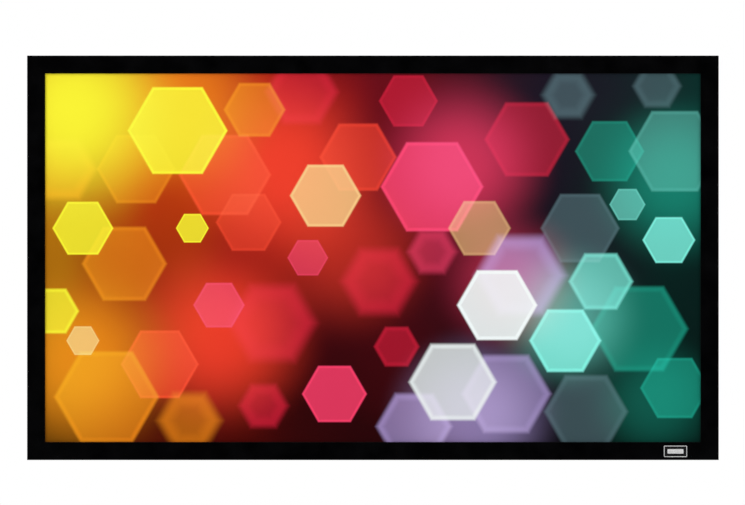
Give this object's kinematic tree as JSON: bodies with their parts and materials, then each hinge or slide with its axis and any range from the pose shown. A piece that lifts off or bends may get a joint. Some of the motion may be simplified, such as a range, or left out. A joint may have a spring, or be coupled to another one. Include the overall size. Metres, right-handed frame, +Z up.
{
  "type": "fixed frame projector screen",
  "caption": "Wall-hung projection screen: a flat sheet sprung tight inside a black velvet-covered aluminium frame with mitred corners, on hooked wall brackets.",
  "frame": {"origin": "middle of the whole screen's box, wall brackets and badge included", "axes": "+Z up, +X to the right of someone facing the picture, +Y from the picture to the wall"},
  "size_m": [2.334, 0.0406, 1.365],
  "materials": {
    "frame_velvet": "black flock velvet, glued on",
    "frame_aluminium": "plain extruded, satin",
    "sheet_white": "matte white front, black back",
    "spring_steel": "nickel plated",
    "zinc_steel": "zinc plated",
    "black_steel": "black oxide",
    "bracket_paint": "black powder coat",
    "badge_enamel": "gloss black with a bare metal rim"
  },
  "bodies": {
    "root": {"badge_plate": "badge_enamel", "bottom_left_rod_and_springs": "spring_steel", "bottom_rail_left": "frame_aluminium", "bottom_rail_left_velvet": "frame_velvet", "bottom_rail_right": "frame_aluminium", "bottom_rail_right_velvet": "frame_velvet", "bottom_right_rod_and_springs": "spring_steel", "corner_bracket_bottom_left": "zinc_steel", "corner_bracket_bottom_left_set_screw_1": "black_steel", "corner_bracket_bottom_left_set_screw_2": "black_steel", "corner_bracket_bottom_left_set_screw_3": "black_steel", "corner_bracket_bottom_left_set_screw_4": "black_steel", "corner_bracket_bottom_right": "zinc_steel", "corner_bracket_bottom_right_set_screw_1": "black_steel", "corner_bracket_bottom_right_set_screw_2": "black_steel", "corner_bracket_bottom_right_set_screw_3": "black_steel", "corner_bracket_bottom_right_set_screw_4": "black_steel", "corner_bracket_top_left": "zinc_steel", "corner_bracket_top_left_set_screw_1": "black_steel", "corner_bracket_top_left_set_screw_2": "black_steel", "corner_bracket_top_left_set_screw_3": "black_steel", "corner_bracket_top_left_set_screw_4": "black_steel", "corner_bracket_top_right": "zinc_steel", "corner_bracket_top_right_set_screw_1": "black_steel", "corner_bracket_top_right_set_screw_2": "black_steel", "corner_bracket_top_right_set_screw_3": "black_steel", "corner_bracket_top_right_set_screw_4": "black_steel", "left_rod_and_springs": "spring_steel", "left_stile": "frame_aluminium", "left_stile_velvet": "frame_velvet", "projection_sheet": "sheet_white", "right_rod_and_springs": "spring_steel", "right_stile": "frame_aluminium", "right_stile_velvet": "frame_velvet", "splice_bar_bottom": "zinc_steel", "splice_bar_bottom_set_screw_1": "black_steel", "splice_bar_bottom_set_screw_2": "black_steel", "splice_bar_bottom_set_screw_3": "black_steel", "splice_bar_bottom_set_screw_4": "black_steel", "splice_bar_top": "zinc_steel", "splice_bar_top_set_screw_1": "black_steel", "splice_bar_top_set_screw_2": "black_steel", "splice_bar_top_set_screw_3": "black_steel", "splice_bar_top_set_screw_4": "black_steel", "support_bar": "frame_aluminium", "support_strap_bottom": "zinc_steel", "support_strap_screw_bottom": "black_steel", "support_strap_screw_top": "black_steel", "support_strap_top": "zinc_steel", "top_left_rod_and_springs": "spring_steel", "top_rail_left": "frame_aluminium", "top_rail_left_velvet": "frame_velvet", "top_rail_right": "frame_aluminium", "top_rail_right_velvet": "frame_velvet", "top_right_rod_and_springs": "spring_steel", "wall_bracket_bottom_left": "bracket_paint", "wall_bracket_bottom_right": "bracket_paint", "wall_bracket_top_left": "bracket_paint", "wall_bracket_top_right": "bracket_paint"}
  },
  "joints": []
}
